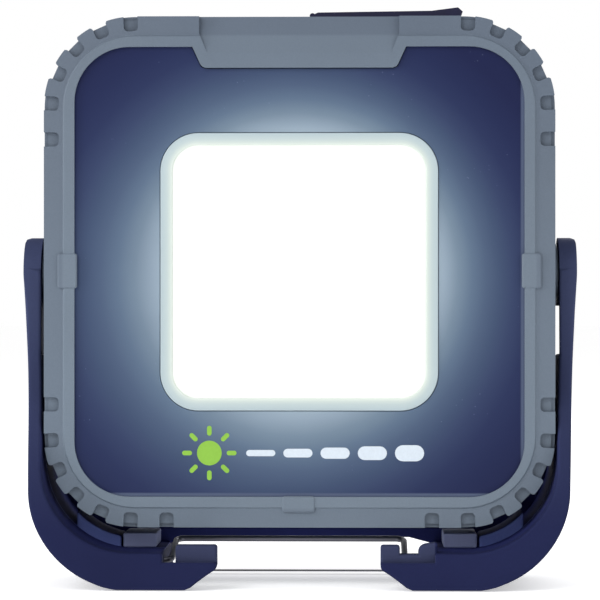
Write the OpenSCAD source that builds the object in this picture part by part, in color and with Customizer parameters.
// Square rechargeable work light on a tilting stand.
// Millimetres, +Z up, front towards -Y, origin on the floor below the tilt axis.

/* [Head] */
// Width and height of the square head
head_w = 165; // [163:1:166]
// Outside corner radius of the head
head_r = 29.5; // [29:0.5:30]
// Depth of the head from the bezel's land to the rear cover
head_d = 40; // [40:1:42]
// Width and height of the opening that holds the lens
window_w = 90; // [86:1:90]
// Width of the lower outer band of the bezel
band_w = 6.1; // [5:0.1:7]
// Width of one grip notch in the bezel
notch_w = 4.6; // [4:0.1:5]
// Length of one grip notch, in from the outer edge
notch_len = 4.8; // [4.2:0.1:5.2]

/* [Stand] */
// Height of the tilt axis above the floor
pivot_z = 102; // [102:0.5:106]
// Depth of the base, front to back
base_d = 60; // [58:1:62]
// Height of the base at its front edge
foot_h = 12; // [11:0.5:12.5]
// Width over the two arms
stand_w = 180.2; // [180:0.1:181]
// Half depth of an arm, which is also its end radius
arm_r = 11.3; // [11:0.1:11.8]

/* [Pivot] */
// Radius of the pivot screw's shoulder
shoulder_r = 4; // [3.5:0.1:4.2]
// Radial running clearance of the pivots
running_gap = 0.08; // [0.04:0.01:0.1]

/* [Hook] */
// Diameter of the hook wire
wire_d = 2; // [1.8:0.1:2.4]
// Left leg of the hook, measured from the middle
hook_left = 41.2; // [40:0.1:41.2]
// Right leg of the hook, measured from the middle
hook_right = 34.1; // [33:0.1:36]

/* [Cells] */
// Diameter of one battery cell
cell_d = 18.4; // [18:0.1:18.4]
// Length of one battery cell
cell_len = 50; // [48:0.5:50]

/* [Hidden] */
$fn = 64;

// Colours
navy = [0.16, 0.17, 0.30];
panel_navy = [0.20, 0.23, 0.38];
grey = [0.45, 0.50, 0.56];
rubber_navy = [0.12, 0.12, 0.22];
steel = [0.72, 0.72, 0.74];
board_green = [0.10, 0.35, 0.20];
white = [0.95, 0.96, 0.95];

// A small length that carries a cut past a face
past = 1;
// The usual gap between two fitted pieces
fit_gap = 0.2;

// Head stack, front to back
front_y = -head_d / 2;
back_y = head_d / 2;
band_drop = 0.5;
band_y = front_y + band_drop;
land_slope = 0.5;
land_top = head_w - 2 * (band_w + land_slope);
pad_rise = 0.4;
thin = 0.02;
flange_back = front_y + 6;
ring_back = front_y + 32;
wall = 3.3;
inner_w = head_w - 2 * wall;
inner_r = head_r - wall;
lip_w = 145.2;
lip_r = 17.8;
panel_w = 148;
panel_r = 18.5;
panel_y = front_y + 1;
panel_t = 2;
panel_back = panel_y + panel_t;
arc_centre = head_w / 2 - head_r;
pad_root = panel_y - 0.1;

// Pads that bridge the bezel's step
side_pad = [6.3, 11.3];
side_pad_at = [74.9, 0.3];
low_pad = [10.6, 5.2];
low_pad_at = [-0.2, -75];

// Posts that take the housing screws
flange_post_r = 5;
post_r = 4;
post_pilot_r = 1.55;

// Tab at the top of the bezel, with the scooped face above it
tab_top = 34.4;
tab_low = 31.4;
tab_z = 65.8;
tab_shoulder = 72.4;
scoop_z = 70.6;
scoop_low = 29.3;
scoop_top = 32.3;
scoop_bend = 77;
scoop_tool = [100, 20, 40];
scoop_angle = 14;

// Grip notches
notch_angles = [3, 24, 45, 66, 87];
notch_straight = 42.8;
notch_depth = 2;
ledge_w = 1.2;
ledge_depth = 2.9;
groove_depth = 1;
groove_span = 22;
notch_corner = 1.4;

// Lens stack
lens_w = window_w - 2 * fit_gap;
lens_r = 12.3;
lit_w = window_w - 8;
lit_r = 8.5;
lens_proud = 0.4;
lit_recess = 0.35;
lens_flange_w = window_w + 4;
lens_back = panel_back + 1.5;
gasket_back = lens_back + 1;
reflector_back = gasket_back + 5;
led_board_w = 86;
led_board_back = reflector_back + 1.6;
pad_back = led_board_back + 0.5;
sink_w = 112;
sink_h = 92;
sink_base_back = pad_back + 2.5;
fin_back = 3;
fin_count = 15;
led_screw = 38;
led_screw_r = 1.4;
led_head_r = 2.4;
led_head_t = 1.8;
chip_w = 3.5;
chip_t = 0.8;
chip_pitch = 11;
chip_rows = 6;
fin_t = 1.6;

// Rear housing
housing_w = inner_w - 2 * fit_gap;
housing_r = inner_r - fit_gap;
housing_front = front_y + 8;
housing_wall = 2.5;
back_panel_y = back_y - 0.8;
plate_y = back_y - housing_wall;
housing_screw = 66;
post_split = -4;
rib_count = 9;
rib_pitch = 11;
rib_w = 3.2;
rib_len = 66;
rib_mid_z = -22;
inset_w = 132;
inset_r = 18;
housing_post_r = 4.2;
screw_head_y = 13;
screw_head_r = 3.4;
screw_r = 1.5;
root = 0.5;

// Pivot
boss_x = head_w / 2 + 1.15;
boss_r = 10;
hub_x = 72;
hub_r = 7;
insert_r = 4.2;
insert_end = 80;
thread_r = 2.4;
pivot_head_r = 6.4;
washer_t = 0.5;
arm_in = boss_x + 0.8;
arm_out = stand_w / 2;
screw_seat = arm_in + 2.6;
cap_x = arm_out + 0.05;
cap_t = 0.9;
cap_r = 7.1;

// Button and indicator in the rear housing
button_z = 45;
button_r = 7;
switch_drop = 6;
plunger_r = 1.6;
plunger_t = 0.6;
button_travel = 0.8;
pipe_z = 30;
pipe_r = 1.2;
pipe_pitch = 6;
board_y = 5;
board_t = 1.6;
board_w = 100;
board_h = 76;
board_mid_z = 6;
board_back = board_y + board_t;
switch_back = board_back + 3.5;
board_screw_x = 45;
board_screw_z = 32;
board_screw_r = 1.4;

// Ports in the top of the head
port_lo = 7;
port_hi = 50;
port_half = 6.2;
usb_a_x = 37;
usb_c_x = 18;
port_board_z = 66;
usb_a = [13.2, 5.8];
usb_a_t = 0.4;
usb_c = [9, 3.2];
usb_c_t = 0.35;
socket_floor = 2;
socket_top = 78.6;
slot_z = 74;
cover_hinge_x = 4.1;
cover_bead_r = 0.9;
cover_end_x = 53.2;
cover_half = 8;
cover_under = 0.3;
cover_bend_x = 43;
cover_lip = 3.6;
cover_plug = 5.2;
anchor_x = 0.2;
anchor_lo = -2.6;
anchor_hi = 2.3;
anchor_half = 4.7;
anchor_sink = 0.8;
anchor_neck_r = 1.5;
anchor_head_r = 2.2;

// Battery
cell_y = 2;
cell_z = -63;
cell_gap = 1;
cell_tip_r = 3;
cell_tip = 0.8;
tray_wall = 1.5;
tray_fit = 0.15;

// Base of the stand
base_half = base_d / 2;
foot_r = 33;
foot_mid = 53.8;
arm_corner = 1.9;
relief_x = 85.85;
relief_front = -8.5;
relief_low = 75;
relief_top = 91;
foot_bottom = 0.3;
bowl_r = 29.2;
bowl_z = foot_h + bowl_r;
taper_z = 90;
bowl_top = 75;
slope_low = 20;
slope_high = 78;
slope_steps = 14;
lug_in = 26.2;
lug_out = 43.5;
lug_back = -21.5;
lug_lip_y = -27;
lug_low = 2;
lug_top = 14.4;
lug_floor = 7;
lug_slot_x = 39.5;
lug_post_w = 6.2;
lug_saddle = 11.5;
lug_horn_x = 38.3;
lug_lip_z = 9.1;
foot_in = 36.4;
foot_slope = [[lug_in, lug_floor], [29.4, 4.9], [32.4, 2.7], [34.4, 1.1], [foot_in, foot_bottom]];
gap_half = 44;
bridge_front = 16;
bridge_low = 13.5;
bridge_top = 16.9;
bridge_half = 52;
bridge_root = 5;
base_top = 30;
gusset_in = 36;
gusset_low = 11.4;
block_front = -8;
block_back = 12;
block_top = 16.7;
block_in = 46.8;
block_mid = 57.8;
rib_in = 58.4;
rib_out = 73;
rib_r = 25.8;
pad_t = 1.2;
pad_w = 12;
pad_x = 45.5;
pad_at = [-27.5, 13.5];
snug = 0.1;
magnet_lo = [48.1, -6.9, 2.3];
magnet_hi = [56.5, 10.9, 10.3];
hollow_in = 60;
hollow_out = 70;
hollow_half = 24;
hollow_top = 9;
tie_front = 26.8;
tie_back = 29.2;
tie_end = 49.5;
tie_low = 0.9;
tie_top = 1.4;
web_front = 23;
web_in = 46;
web_r = 28;
web_z = 47.6;
web_top = 40;

// Hook, stowed in the base
hook_y = -19;
hook_z = 9;
hook_run_y = 6;
hook_run_z = 13.8;
hook_len = norm([hook_run_y - hook_y, hook_run_z - hook_z]);
hook_tilt = atan2(hook_run_z - hook_z, hook_run_y - hook_y);
hook_bend = 3;
pin_bend = 2.6;
pin_end = 49.5;

// ---------- helpers ----------

module in_head() {
    translate([0, 0, pivot_z]) children();
}

module both_sides() {
    for (m = [0, 1]) mirror([m, 0, 0]) children();
}

module four_corners(x, z) {
    for (sx = [-1, 1], sz = [-1, 1]) translate([sx * x, 0, sz * z]) children();
}

module rounded(w, h, r) {
    square([w - 2 * r, h], center = true);
    square([w, h - 2 * r], center = true);
    for (sx = [-1, 1], sy = [-1, 1]) {
        translate([sx * (w / 2 - r), sy * (h / 2 - r)]) circle(r);
    }
}

// Extrudes an outline drawn in X and Z between two depths
module upright(y0, y1) {
    translate([0, y1, 0]) rotate([90, 0, 0]) linear_extrude(y1 - y0) children();
}

module slab(w, h, r, y0, y1) {
    upright(y0, y1) rounded(w, h, r);
}

// A slab whose sides slope outwards by grow from depth y0 to depth y1
module sloped(w, h, r, grow, y0, y1) {
    hull() {
        translate([0, y0, 0]) sheet(w, h, r);
        translate([0, y1, 0]) sheet(w + 2 * grow, h + 2 * grow, r + grow);
    }
}

module sheet(w, h, r) {
    slab(w, h, r, 0, thin, $fn = 48);
}

module box(lo, hi) {
    translate(lo) cube(hi - lo);
}

// A round bar along Y, from depth y0 to depth y1
module bar_y(r, y0, y1) {
    translate([0, y1, 0]) rotate([90, 0, 0]) cylinder(r = r, h = y1 - y0);
}

// A round bar along X
module bar_x(r, x0, x1) {
    translate([x0, 0, 0]) rotate([0, 90, 0]) cylinder(r = r, h = x1 - x0);
}

// A thin insulated wire through a list of points
module lead(points, r) {
    for (i = [0 : len(points) - 2]) hull() {
        translate(points[i]) sphere(r, $fn = 8);
        translate(points[i + 1]) sphere(r, $fn = 8);
    }
}

// ---------- head: bezel ----------

module tab_outline(grow) {
    polygon([
        [-tab_top - grow, lip_w / 2 + 2], [-tab_top - grow, tab_shoulder],
        [-tab_low - 0.6 - grow, tab_z + 1.4], [-tab_low - grow, tab_z + 0.5 - 0.7 * grow],
        [-tab_low + 1.2, tab_z - grow], [tab_low - 1.2, tab_z - grow],
        [tab_low + grow, tab_z + 0.5 - 0.7 * grow], [tab_low + 0.6 + grow, tab_z + 1.4],
        [tab_top + grow, tab_shoulder], [tab_top + grow, lip_w / 2 + 2]
    ]);
}

module notch_cut() {
    upright(front_y - past, front_y + notch_depth) translate([(past - notch_len) / 2, 0]) union() {
        rounded(notch_len + past, notch_w, notch_corner);
        translate([notch_len / 2, 0]) square([past, notch_w], center = true);
    }
    box([-ledge_w, front_y - past, -notch_w / 2], [past, front_y + ledge_depth, notch_w / 2]);
}

// Carries a corner notch down the side of the head, with a flared mouth
module groove_cut() {
    half = notch_w / 2;
    upright(front_y - past, ring_back + past) polygon([
        [-groove_depth, -half], [-0.6, -half - 0.15], [-0.25, -half - 0.5], [past, -half - 2.2],
        [past, half + 2.2], [-0.25, half + 0.5], [-0.6, half + 0.15], [-groove_depth, half]
    ]);
}

module notches() {
    for (sx = [-1, 1], sz = [-1, 1], a = notch_angles) {
        translate([sx * (arc_centre + head_r * sin(a)), 0, sz * (arc_centre + head_r * cos(a))])
            rotate([0, -atan2(sz * cos(a), sx * sin(a)), 0]) {
                notch_cut();
                if (abs(a - 45) < groove_span) groove_cut();
            }
    }
    for (sz = [-1, 1]) translate([head_w / 2, 0, sz * notch_straight]) notch_cut();
    for (sz = [-1, 1]) translate([-head_w / 2, 0, sz * notch_straight]) rotate([0, 180, 0]) notch_cut();
    for (sx = [-1, 1]) translate([sx * notch_straight, 0, -head_w / 2]) rotate([0, 90, 0]) notch_cut();
}

module scoop() {
    intersection() {
        upright(front_y - 2 * past, flange_back + past) polygon([
            [-scoop_low, scoop_z - past], [scoop_low, scoop_z - past], [scoop_top, scoop_bend],
            [scoop_top, head_w / 2 + past], [-scoop_top, head_w / 2 + past], [-scoop_top, scoop_bend]
        ]);
        translate([0, front_y, scoop_z]) rotate([-scoop_angle, 0, 0])
            translate([-scoop_tool.x / 2, -scoop_tool.y, -5]) cube(scoop_tool);
    }
}

// A low pad that bridges the step of the bezel
module raised_pad(size) {
    top = size - 2 * [pad_rise, pad_rise];
    corner = 0.5;
    sloped(top.x, top.y, corner, pad_rise, front_y - pad_rise, front_y - thin);
    slab(size.x, size.y, corner + pad_rise, front_y - thin, pad_root);
}

module pivot_hubs() {
    both_sides() {
        bar_x(boss_r, head_w / 2 - 1, boss_x);
        bar_x(hub_r, hub_x, head_w / 2 - 1);
    }
}

module bezel_frame() color(grey) in_head() difference() {
    union() {
        difference() {
            union() {
                slab(head_w, head_w, head_r, band_y, ring_back);
                sloped(land_top, land_top, head_r - band_w - land_slope, land_slope, front_y, band_y);
            }
            slab(lip_w, lip_w, lip_r, front_y - past, ring_back + past);
            slab(panel_w + 2 * fit_gap, panel_w + 2 * fit_gap, panel_r, panel_y, ring_back + past);
            slab(inner_w, inner_w, inner_r, flange_back, ring_back + past);
        }
        upright(front_y, flange_back) tab_outline(0);
        for (sx = [-1, 1]) translate([sx * side_pad_at.x, 0, side_pad_at.y]) raised_pad(side_pad);
        translate([low_pad_at.x, 0, low_pad_at.y]) raised_pad(low_pad);
        pivot_hubs();
        four_corners(housing_screw, housing_screw) {
            bar_y(flange_post_r, panel_back + fit_gap, flange_back);
            bar_y(post_r, panel_back + fit_gap, post_split);
        }
    }
    notches();
    scoop();
    both_sides() {
        bar_x(insert_r, hub_x - past, insert_end);
        bar_x(thread_r + fit_gap, insert_end - past, boss_x + past);
    }
    four_corners(housing_screw, housing_screw) bar_y(post_pilot_r, flange_back, post_split + past);
    box([port_lo, -port_half, housing_w / 2], [port_hi, port_half, head_w / 2 + past]);
    anchor_seat();
}

// The hole and the shallow seat for the port cover's anchor
module anchor_seat() {
    room = 0.3;
    half = anchor_half + room;
    seat_z = head_w / 2 - anchor_sink;
    translate([anchor_x, 0, inner_w / 2 - past]) cylinder(r = anchor_neck_r + 0.1, h = wall + 2 * past);
    box([anchor_lo - room, -half, seat_z], [anchor_hi + room, half, head_w / 2 + past]);
}

// ---------- head: front panel and lamp ----------

module face_panel() color(panel_navy) in_head() difference() {
    slab(panel_w, panel_w, panel_r - fit_gap, panel_y, panel_back);
    slab(window_w, window_w, lens_r + fit_gap, panel_y - past, panel_back + past);
    upright(panel_y - past, panel_back + past) tab_outline(fit_gap);
}

module light_lens() color(white) in_head() difference() {
    union() {
        slab(lens_w, lens_w, lens_r, panel_y - lens_proud, lens_back);
        slab(lens_flange_w, lens_flange_w, lens_r + 2, panel_back, lens_back);
    }
    slab(lit_w, lit_w, lit_r, panel_y - past, panel_y - lens_proud + lit_recess);
}

module lens_gasket() color([0.2, 0.2, 0.2]) in_head() difference() {
    slab(lens_flange_w, lens_flange_w, lens_r + 2, lens_back, gasket_back);
    slab(lit_w + 2, lit_w + 2, lit_r + 1, lens_back - past, gasket_back + past);
}

module reflector() color([0.9, 0.9, 0.92]) in_head() difference() {
    head_room = 0.6;
    slab(lens_flange_w, lens_flange_w, lens_r + 2, gasket_back, reflector_back);
    slab(lit_w - 2, lit_w - 2, lit_r, gasket_back - past, reflector_back + past);
    four_corners(led_screw, led_screw)
        bar_y(led_head_r + fit_gap, reflector_back - led_head_t - head_room, reflector_back + past);
}

module led_board() color([0.92, 0.92, 0.88]) in_head() difference() {
    slab(led_board_w, led_board_w, 4, reflector_back, led_board_back);
    four_corners(led_screw, led_screw)
        bar_y(led_screw_r + fit_gap, reflector_back - past, led_board_back + past);
}

module led_chips() color([0.98, 0.85, 0.35]) in_head() {
    half = (chip_rows - 1) / 2;
    for (i = [-half : half], j = [-half : half]) {
        translate([i * chip_pitch, 0, j * chip_pitch])
            slab(chip_w, chip_w, 0.3, reflector_back - chip_t, reflector_back);
    }
}

module led_board_screws() color(steel) in_head() four_corners(led_screw, led_screw) {
    bar_y(led_head_r, reflector_back - led_head_t, reflector_back);
    bar_y(led_screw_r, reflector_back, pad_back + 2);
}

module thermal_pad() color([0.6, 0.6, 0.65]) in_head() difference() {
    slab(led_board_w - 2, led_board_w - 2, 3, led_board_back, pad_back);
    four_corners(led_screw, led_screw) bar_y(led_screw_r + 0.6, led_board_back - past, pad_back + past);
}

module heat_sink() color([0.75, 0.76, 0.78]) in_head() difference() {
    union() {
        slab(sink_w, sink_h, 3, pad_back, sink_base_back);
        edge = 2;
        pitch = (sink_w - 2 * edge) / (fin_count - 1);
        reach = sink_h / 2 - edge;
        for (i = [0 : fin_count - 1]) {
            x = -sink_w / 2 + edge + i * pitch;
            box([x - fin_t / 2, sink_base_back - 0.1, -reach], [x + fin_t / 2, fin_back, reach]);
        }
    }
    four_corners(led_screw, led_screw) bar_y(led_screw_r + 0.05, pad_back - past, sink_base_back + past);
}

// ---------- head: power ----------

module battery_cells() color([0.2, 0.45, 0.65]) in_head() translate([0, cell_y, cell_z]) both_sides() {
    bar_x(cell_d / 2, cell_gap / 2, cell_gap / 2 + cell_len);
    bar_x(cell_tip_r, cell_gap / 2 + cell_len, cell_gap / 2 + cell_len + cell_tip);
}

module battery_tray() color([0.15, 0.15, 0.16]) in_head() translate([0, cell_y, cell_z]) difference() {
    reach = cell_len + 4;
    inside = reach - 2;
    half = cell_d / 2 + tray_wall;
    bed_r = cell_d / 2 + tray_fit;
    rim_z = 2;
    box([-reach, -half, -half - 0.1], [reach, half, rim_z]);
    bar_x(bed_r, -inside, inside);
    box([-inside, -bed_r, 0], [inside, bed_r, rim_z + past]);
}

module battery_contacts() color(steel) in_head() translate([0, cell_y, cell_z]) both_sides() {
    x = cell_len + cell_tip + 0.6;
    half = 5;
    plate_t = 0.5;
    box([x, -half, -half], [x + plate_t, half, half + 1]);
}

module main_board() color(board_green) in_head() translate([0, 0, board_mid_z]) difference() {
    slab(board_w, board_h, 2, board_y, board_back);
    at_board_screws() bar_y(board_screw_r + 0.3, board_y - past, board_back + past);
}

module at_board_screws() {
    four_corners(board_screw_x, board_screw_z) children();
}

module board_screws() color(steel) in_head() translate([0, 0, board_mid_z]) at_board_screws() {
    small_head_r = 2.6;
    small_head_t = 1.4;
    bar_y(small_head_r, board_y - small_head_t, board_y);
    bar_y(board_screw_r, board_y, board_back + 5);
}

module button_switch() color([0.1, 0.1, 0.1]) in_head() translate([0, 0, button_z - switch_drop]) {
    body = 6;
    slab(body, body, 0.5, board_back, switch_back);
    bar_y(plunger_r, switch_back, switch_back + plunger_t);
}

module light_pipe() color(white) in_head() translate([0, 0, pipe_z]) {
    rail = [22, 2.2, 3];
    rail_y = plate_y - 5;
    at_pipes() bar_y(pipe_r, plate_y - 3, back_y);
    box([-rail.x / 2, rail_y, -rail.z / 2], [rail.x / 2, rail_y + rail.y, rail.z / 2]);
}

// The four rods of the charge indicator
module at_pipes() {
    for (i = [-1.5 : 1.5]) translate([i * pipe_pitch, 0, 0]) children();
}

module port_board() color(board_green) in_head() difference() {
    half = 7;
    hole_r = 1.2;
    box([port_lo + 1, -half, port_board_z - board_t], [port_hi - 2, half, port_board_z]);
    for (x = [port_lo + 3, port_hi - 4]) {
        translate([x, 0, port_board_z - board_t - past]) cylinder(r = hole_r, h = board_t + 2 * past);
    }
}

module usb_a_socket() color(steel) in_head() {
    half = usb_a / 2;
    mouth = half - [usb_a_t, usb_a_t];
    tongue = [5.6, 1.8];
    floor_z = port_board_z + socket_floor;
    difference() {
        box([usb_a_x - half.x, -half.y, port_board_z], [usb_a_x + half.x, half.y, socket_top]);
        box([usb_a_x - mouth.x, -mouth.y, floor_z], [usb_a_x + mouth.x, mouth.y, socket_top + past]);
    }
    box([usb_a_x - tongue.x, 0.3, floor_z - 0.1], [usb_a_x + tongue.x, 0.3 + tongue.y, socket_top - 1.1]);
}

module usb_c_socket() color(steel) in_head() {
    mouth = usb_c - 2 * [usb_c_t, usb_c_t - 0.05];
    tongue = [3.3, 0.35];
    height = socket_top - port_board_z;
    translate([usb_c_x, 0, port_board_z]) difference() {
        linear_extrude(height) rounded(usb_c.x, usb_c.y, usb_c.y / 2 - 0.05);
        translate([0, 0, socket_floor]) linear_extrude(height) rounded(mouth.x, mouth.y, mouth.y / 2 - 0.05);
    }
    floor_z = port_board_z + socket_floor;
    box([usb_c_x - tongue.x, -tongue.y, floor_z - 0.1], [usb_c_x + tongue.x, tongue.y, socket_top - 1.6]);
}

module led_leads() color([0.75, 0.1, 0.1]) in_head() for (x = [30, 34]) {
    lead([
        [x, reflector_back + 0.9, 43.8], [x, reflector_back + 0.9, 48.5],
        [x, board_y - 1, 48.5], [x, board_y + 0.8, 44.8]
    ], 0.7);
}

module battery_leads() color([0.1, 0.1, 0.1]) in_head() both_sides() {
    lead([
        [cell_len + 1.6, cell_y, cell_z + 7], [cell_len + 2.5, 5.5, -46], [54, 6, -30],
        [board_w / 2 + 0.9, board_y + 0.8, -20]
    ], 0.8);
}

// ---------- head: rear ----------

module housing_seal() color([0.1, 0.1, 0.1]) in_head() difference() {
    slab(inner_w - 0.1, inner_w - 0.1, inner_r, flange_back, housing_front - fit_gap);
    slab(inner_w - 3, inner_w - 3, inner_r - 1.5, flange_back - past, housing_front);
}

module rear_housing() color(navy) in_head() difference() {
    union() {
        difference() {
            slab(housing_w, housing_w, housing_r, housing_front, back_y);
            slab(
                housing_w - 2 * housing_wall, housing_w - 2 * housing_wall, housing_r - housing_wall,
                housing_front - past, plate_y
            );
            slab(inset_w, inset_w, inset_r, back_panel_y, back_y + past);
        }
        for (i = [0 : rib_count - 1]) {
            x = (i - (rib_count - 1) / 2) * rib_pitch;
            translate([x, 0, rib_mid_z]) slab(rib_w, rib_len, rib_w / 2 - 0.1, back_panel_y - 0.2, back_y);
        }
        four_corners(housing_screw, housing_screw) bar_y(housing_post_r, post_split, plate_y + root);
        translate([0, 0, board_mid_z]) at_board_screws() bar_y(3, board_back, plate_y + root);
        translate([0, 0, button_z]) bar_y(button_r + 4, plate_y, back_y);
    }
    four_corners(housing_screw, housing_screw) {
        bar_y(screw_r + 0.4, post_split - past, back_y + past);
        bar_y(screw_head_r + 0.3, screw_head_y, back_y + past);
    }
    translate([0, 0, board_mid_z]) at_board_screws() bar_y(board_screw_r + 0.05, board_y, board_back + 5.5);
    translate([0, 0, button_z]) bar_y(button_r + 0.35, plate_y - past, back_y + past);
    translate([0, 0, pipe_z]) at_pipes() bar_y(pipe_r + 0.05, plate_y - 7, back_y + past);
    both_sides() {
        slot_r = hub_r + 0.6;
        bar_x(slot_r, hub_x, head_w);
        box([hub_x, housing_front - past, -slot_r], [head_w / 2, 0, slot_r]);
    }
    port_slot(usb_a_x, usb_a, 0.6);
    port_slot(usb_c_x, usb_c, 0.7);
    translate([anchor_x, 0, slot_z]) cylinder(r = anchor_head_r + 0.4, h = inner_w);
}

// A slot through the top of the rear housing for one socket
module port_slot(x, shell, room) {
    half = shell / 2 + [room, room];
    box([x - half.x, -half.y, slot_z], [x + half.x, half.y, inner_w / 2 + past]);
}

module housing_screws() color(steel) in_head() four_corners(housing_screw, housing_screw) difference() {
    union() {
        bar_y(screw_head_r, screw_head_y, screw_head_y + 2.4);
        bar_y(screw_r, flange_back + 2, screw_head_y);
    }
    socket_r = 1.5;
    socket_depth = 2.2;
    translate([0, screw_head_y + 3, 0]) rotate([90, 30, 0])
        cylinder(r = socket_r, h = socket_depth, $fn = 6);
}

// ---------- tilt pivot ----------

module pivot_inserts() color([0.8, 0.65, 0.3]) in_head() both_sides() difference() {
    bar_x(insert_r - 0.02, hub_x, insert_end);
    bar_x(thread_r + 0.02, hub_x - past, insert_end + past);
}

module pivot_screws() color(steel) in_head() both_sides() difference() {
    union() {
        shoulder_x = boss_x + washer_t + 0.05;
        bar_x(thread_r, hub_x + 1.5, shoulder_x);
        bar_x(shoulder_r, shoulder_x, screw_seat + 0.4);
        bar_x(pivot_head_r, screw_seat + 0.3, cap_x - cap_t - 0.3);
    }
    socket_r = 2.3;
    translate([screw_seat + 0.6, 0, 0]) rotate([0, 90, 0]) cylinder(r = socket_r, h = 5, $fn = 6);
}

module friction_washers() color([0.85, 0.83, 0.78]) in_head() both_sides() difference() {
    bar_x(boss_r - 0.8, boss_x, boss_x + washer_t);
    bar_x(thread_r + 0.1, boss_x - past, boss_x + washer_t + past);
}

module pivot_caps() color(navy) in_head() both_sides() difference() {
    bar_x(cap_r, cap_x - cap_t, cap_x);
    bar_x(cap_r - 2.5, cap_x - 0.3, cap_x + past);
}

// ---------- port cover and button ----------

module cover_anchor() color(rubber_navy) in_head() {
    head_t = 1.5;
    proud = 0.6;
    translate([anchor_x, 0, inner_w / 2 - fit_gap]) cylinder(r = anchor_neck_r, h = wall - 2 * fit_gap);
    translate([anchor_x, 0, inner_w / 2 - head_t - 0.1]) cylinder(r = anchor_head_r, h = head_t);
    box([anchor_lo, -anchor_half, head_w / 2 - anchor_sink], [anchor_hi, anchor_half, head_w / 2 + proud]);
}

module port_cover() color(rubber_navy) in_head() {
    low = head_w / 2 + cover_under;
    hinge_z = low + cover_bead_r;
    neck = 0.3;
    lip_x = cover_end_x - 1.6;
    translate([cover_hinge_x, 0, hinge_z]) bar_y(cover_bead_r, -cover_half, cover_half);
    upright(-cover_half, cover_half) polygon([
        [cover_hinge_x, hinge_z - neck], [cover_hinge_x, hinge_z + neck],
        [cover_hinge_x + 1.8, low + 2], [cover_bend_x, low + 2.5], [lip_x, low + cover_lip],
        [cover_end_x, low + 2.2], [lip_x + neck, low + 0.1], [port_hi, low], [cover_hinge_x + 1.3, low]
    ]);
    box([port_lo + 2, -cover_plug, housing_w / 2 + 0.9], [port_hi - 1.5, cover_plug, low + 0.5]);
}

module power_button() color([0.35, 0.38, 0.42]) in_head() translate([0, 0, button_z]) difference() {
    proud = 1;
    dish_r = 5.2;
    dish_depth = 1.6;
    stem_front = switch_back + plunger_t + button_travel + 0.3;
    union() {
        bar_y(button_r, plate_y - 1, back_y + proud);
        bar_y(button_r + 1.6, plate_y - 1.5, plate_y - 0.3);
        translate([0, 0, -switch_drop]) bar_y(plunger_r, stem_front, plate_y - 1.4);
    }
    translate([0, back_y + proud + dish_r - dish_depth, 0]) sphere(dish_r);
}

// ---------- stand ----------

module stand_half_outline() {
    square([foot_mid, taper_z]);
    translate([foot_mid, foot_r]) circle(foot_r, $fn = 128);
    top = pivot_z + arm_r;
    polygon([
        [0, foot_r], [foot_mid + foot_r, foot_r], [arm_out - 0.6, taper_z], [arm_out, taper_z + 10],
        [arm_out, top - arm_corner], [arm_out - 0.3, top - 0.3 * arm_corner],
        [arm_out - arm_corner, top + 0.1], [0, top + 0.1]
    ]);
}

module bowl_half_outline() {
    translate([0, foot_h]) square([foot_mid, taper_z]);
    translate([foot_mid, bowl_z]) circle(bowl_r, $fn = 128);
    polygon([
        [0, bowl_z], [foot_mid + bowl_r, bowl_z], [arm_in, bowl_top],
        [arm_in, pivot_z + 20], [0, pivot_z + 20]
    ]);
}

// The bowl behind web_front, where a low web closes the gap under the head
module web_bowl_half_outline() {
    difference() {
        bowl_half_outline();
        difference() {
            translate([web_in, 0]) square([arm_out, web_top]);
            translate([foot_mid, web_z]) circle(web_r, $fn = 128);
            translate([0, web_z - web_r]) square([foot_mid, web_r]);
        }
    }
}

function side_half(t) = arm_r + (base_half - arm_r) * (0.5 + 0.5 * cos(180 * t));
function side_z(t) = slope_low + (slope_high - slope_low) * t;

module side_outline() {
    steps = [for (i = [0 : slope_steps]) i / slope_steps];
    polygon(concat(
        [[base_half, 0]],
        [for (t = steps) [side_half(t), side_z(t)]],
        [[arm_r, pivot_z], [-arm_r, pivot_z]],
        [for (i = [slope_steps : -1 : 0]) [-side_half(i / slope_steps), side_z(i / slope_steps)]],
        [[-base_half, 0]]
    ));
    translate([0, pivot_z]) circle(arm_r);
}

module raised_ribs() {
    both_sides() intersection() {
        box([rib_in, block_front, 0], [rib_out, block_back, bowl_z]);
        upright(block_front, block_back) difference() {
            translate([foot_mid, bowl_z]) circle(bowl_r + 1, $fn = 128);
            translate([foot_mid, bowl_z]) circle(rib_r, $fn = 128);
        }
    }
}

// Front skirts with the lugs on which the hook rests
module lugs() {
    outer = lug_out + 1;
    height = lug_top - lug_low;
    upright(lug_lip_y, lug_back) union() {
        translate([-outer, lug_low]) square([outer - lug_in, lug_floor - lug_low]);
        translate([-lug_slot_x, lug_low]) square([lug_slot_x - lug_in, height]);
        translate([lug_in, lug_low]) square([lug_post_w, height]);
        translate([lug_in, lug_low]) square([outer - lug_in, lug_saddle - lug_low]);
        polygon([
            [lug_horn_x, lug_saddle - 1], [lug_horn_x, lug_top - 1.2], [lug_slot_x, lug_top + 0.2],
            [outer, lug_top + 1.1], [outer, lug_saddle - 1]
        ]);
    }
}

module base_openings() {
    box([-gap_half, lug_back, -past], [gap_half, bridge_front, base_top]);
    upright(bridge_front - past, base_half + past) polygon([
        [-gap_half, -past], [gap_half, -past], [gap_half, gusset_low], [gusset_in, bridge_low],
        [-gusset_in, bridge_low], [-gap_half, gusset_low]
    ]);
    box([-lug_in, -base_half - past, -past], [lug_in, 0, base_top]);
    both_sides() {
        box([lug_in - past, -base_half - past, lug_lip_z], [lug_out, lug_lip_y, base_top]);
        upright(-base_half - past, 0) polygon(concat(
            [[lug_in - past, -past], [lug_in - past, lug_floor]], foot_slope, [[foot_in, -past]]
        ));
    }
    box([-lug_out, lug_lip_y - past, lug_floor], [-lug_slot_x, lug_back + past, base_top]);
}

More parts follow.
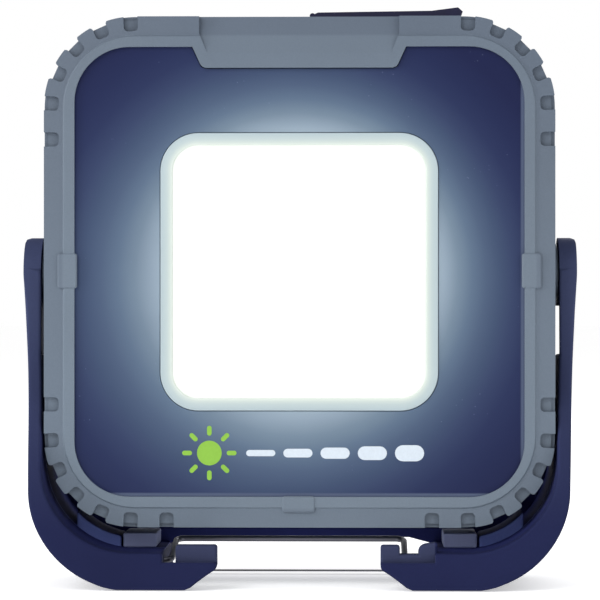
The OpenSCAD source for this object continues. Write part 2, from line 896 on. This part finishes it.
module foot_pockets() {
    both_sides() {
        box(magnet_lo - [snug, snug, snug], [magnet_hi.x + snug, magnet_hi.y + snug, base_top]);
        box([hollow_in, -hollow_half, -past], [hollow_out, hollow_half, hollow_top]);
        for (y = pad_at) box([pad_x, y, -past], [pad_x + pad_w, y + pad_w, foot_bottom + pad_t]);
        box(
            [gap_half - past, tie_front - fit_gap, -past],
            [tie_end + 0.5, tie_back + fit_gap, tie_top + snug]
        );
        box([block_in - snug, block_front - snug, foot_h], [block_mid + snug, block_back + snug, base_top]);
    }
}

// Thins the arms behind their front edge, below the tilt pivots
module arm_reliefs() {
    both_sides() box([arm_in - past, relief_front, relief_low], [relief_x, base_half, relief_top]);
}

module stand_frame() color(navy) difference() {
    union() {
        difference() {
            intersection() {
                upright(-base_half, base_half) both_sides() stand_half_outline();
                rotate([90, 0, 90]) linear_extrude(2 * head_w, center = true) side_outline();
            }
            upright(-base_half - past, web_front) both_sides() bowl_half_outline();
            upright(web_front - past, base_half + past) both_sides() web_bowl_half_outline();
            box([-head_w, -base_d, -past], [head_w, base_d, foot_bottom]);
            box([-lug_out, lug_lip_y, -past], [lug_out, lug_back, base_top]);
        }
        raised_ribs();
        lugs();
        box([-bridge_half, bridge_front, bridge_root], [bridge_half, base_half, bridge_top]);
    }
    base_openings();
    foot_pockets();
    arm_reliefs();
    in_head() both_sides() {
        bar_x(shoulder_r + running_gap, arm_in - past, screw_seat + past);
        bar_x(cap_r + 0.05, screw_seat, arm_out + past);
    }
    translate([0, hook_y, hook_z]) both_sides() bar_x(wire_d / 2 + 0.05, gap_half - past, pin_end + 0.5);
}

module magnets() color([0.3, 0.3, 0.32]) both_sides() {
    box(magnet_lo, magnet_hi);
}

module magnet_covers() color([0.27, 0.29, 0.40]) both_sides() {
    box([magnet_lo.x, magnet_lo.y, magnet_hi.z + snug], [magnet_hi.x, magnet_hi.y, foot_h + snug]);
    box([block_in, block_front, foot_h + snug / 2], [block_mid, block_back, block_top]);
}

module foot_pads() color([0.08, 0.08, 0.1]) both_sides() for (y = pad_at) {
    far = pad_w - snug;
    box([pad_x + snug, y + snug, 0], [pad_x + far, y + far, foot_bottom + pad_t - snug / 2]);
}

module tie_strip() color(steel) {
    box([-tie_end, tie_front, tie_low], [tie_end, tie_back, tie_top]);
}

// ---------- hook ----------

// A quarter bend of the wire, round the local origin, between two angles
module bend(r, from) {
    rotate([0, 0, from]) rotate_extrude(angle = 90) translate([r, 0]) circle(wire_d / 2);
}

module hook_side(leg_x) {
    wire_r = wire_d / 2;
    bar_x(wire_r, leg_x + pin_bend, pin_end);
    translate([leg_x + pin_bend, pin_bend, 0]) bend(pin_bend, 180);
    translate([leg_x, 0, 0]) bar_y(wire_r, pin_bend, hook_len - hook_bend);
    translate([leg_x - hook_bend, hook_len - hook_bend, 0]) bend(hook_bend, 0);
}

module hook_wire() color(steel) translate([0, hook_y, hook_z]) rotate([hook_tilt, 0, 0]) {
    hook_side(hook_right);
    mirror([1, 0, 0]) hook_side(hook_left);
    translate([0, hook_len, 0]) bar_x(wire_d / 2, -hook_left + hook_bend, hook_right - hook_bend);
}

stand_frame();
magnets();
magnet_covers();
foot_pads();
pivot_caps();
tie_strip();
bezel_frame();
face_panel();
light_lens();
lens_gasket();
reflector();
led_board();
led_chips();
led_board_screws();
thermal_pad();
heat_sink();
battery_tray();
battery_cells();
battery_contacts();
main_board();
board_screws();
button_switch();
light_pipe();
port_board();
usb_a_socket();
usb_c_socket();
led_leads();
battery_leads();
housing_seal();
rear_housing();
housing_screws();
pivot_inserts();
pivot_screws();
friction_washers();
cover_anchor();
port_cover();
power_button();
hook_wire();
